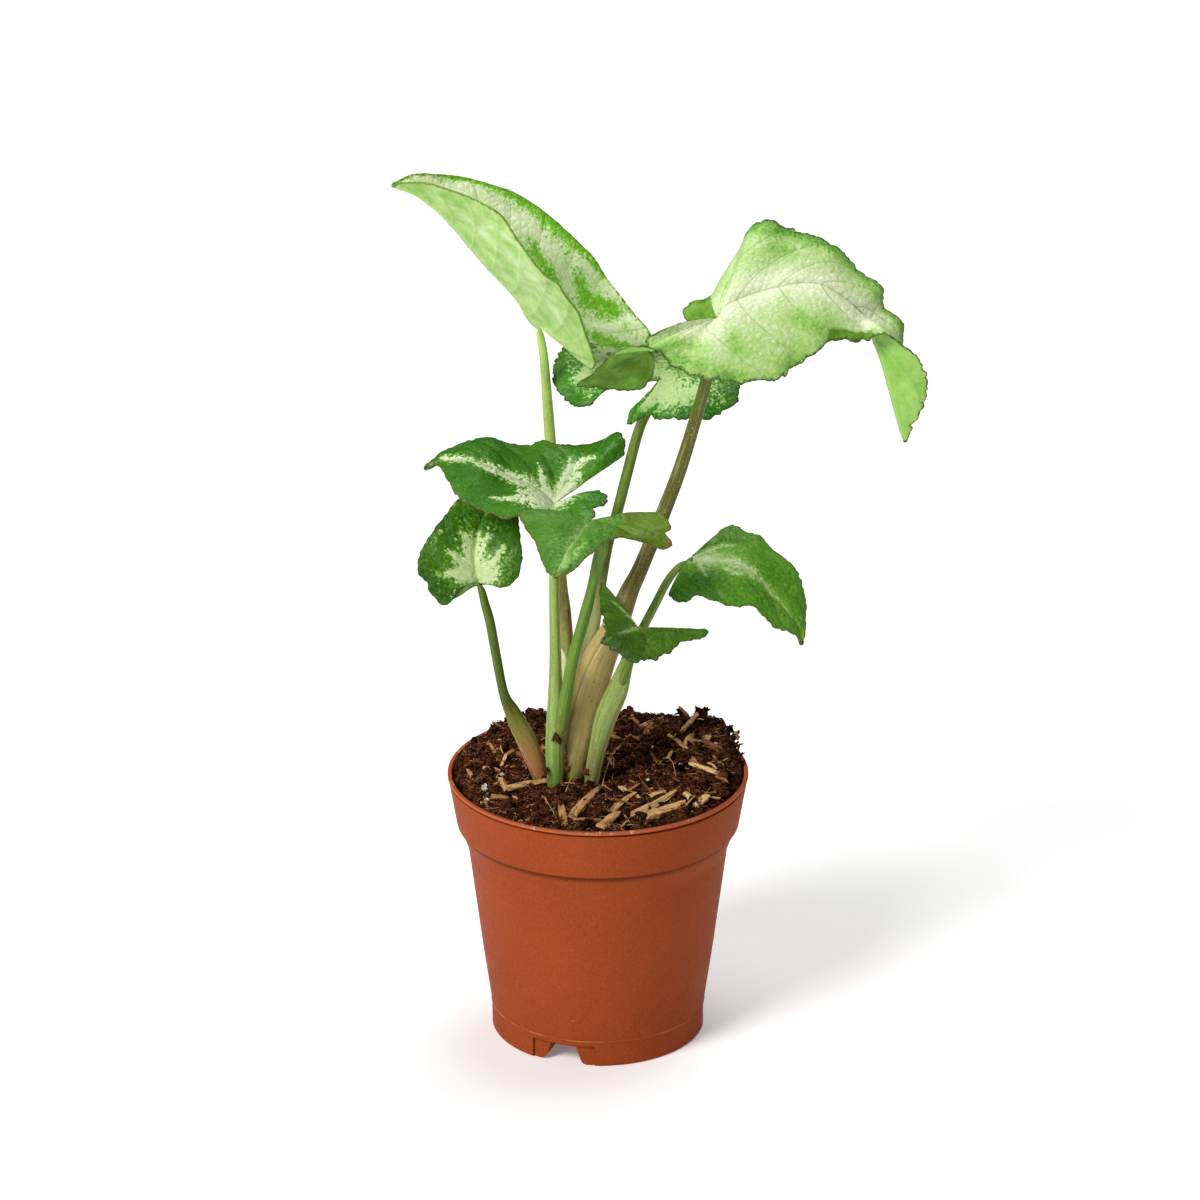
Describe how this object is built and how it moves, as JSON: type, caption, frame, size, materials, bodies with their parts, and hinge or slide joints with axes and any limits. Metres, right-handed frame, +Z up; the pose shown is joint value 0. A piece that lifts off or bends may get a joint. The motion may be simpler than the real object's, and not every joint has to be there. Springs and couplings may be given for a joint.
{
  "type": "arrowhead plant in a nursery pot",
  "caption": "Young arrowhead plant with folded and waved variegated leaves on slim sheathed stalks, standing in a heaped, round plastic nursery pot.",
  "frame": {"origin": "middle of the pot's flat underside, on the surface it stands on", "axes": "+Z up along the pot's axis, +X to the right in the picture, +Y away from the viewer"},
  "size_m": [0.1314, 0.0963, 0.2254],
  "materials": {
    "pot_plastic": "terracotta-coloured plastic with a fine dull grain",
    "potting_soil": null,
    "pale_leaf": "pale green blade mottled with cream, satin",
    "palest_leaf": "creamy green blade with a green edge, satin",
    "mid_green_leaf": "mid green blade with a pale rib, satin",
    "dark_leaf": "dark green blade with a pale star, satin",
    "olive_stem": "olive and brownish stalk, smooth",
    "tan_stem": "tan and olive sheathed stalk, smooth",
    "green_stem": "fresh green sheathed stalk, smooth"
  },
  "bodies": {
    "root": {"pot": "pot_plastic", "soil": "potting_soil", "tall_left_leaf": "pale_leaf", "large_right_leaf": "palest_leaf", "back_leaf": "dark_leaf", "middle_left_leaf": "dark_leaf", "front_leaf": "mid_green_leaf", "lower_left_leaf": "dark_leaf", "right_leaf": "mid_green_leaf", "small_leaf": "dark_leaf", "tall_left_stem": "olive_stem", "middle_stems": "tan_stem", "front_stems": "green_stem", "lower_left_stem": "olive_stem", "right_stems": "green_stem"}
  },
  "joints": []
}
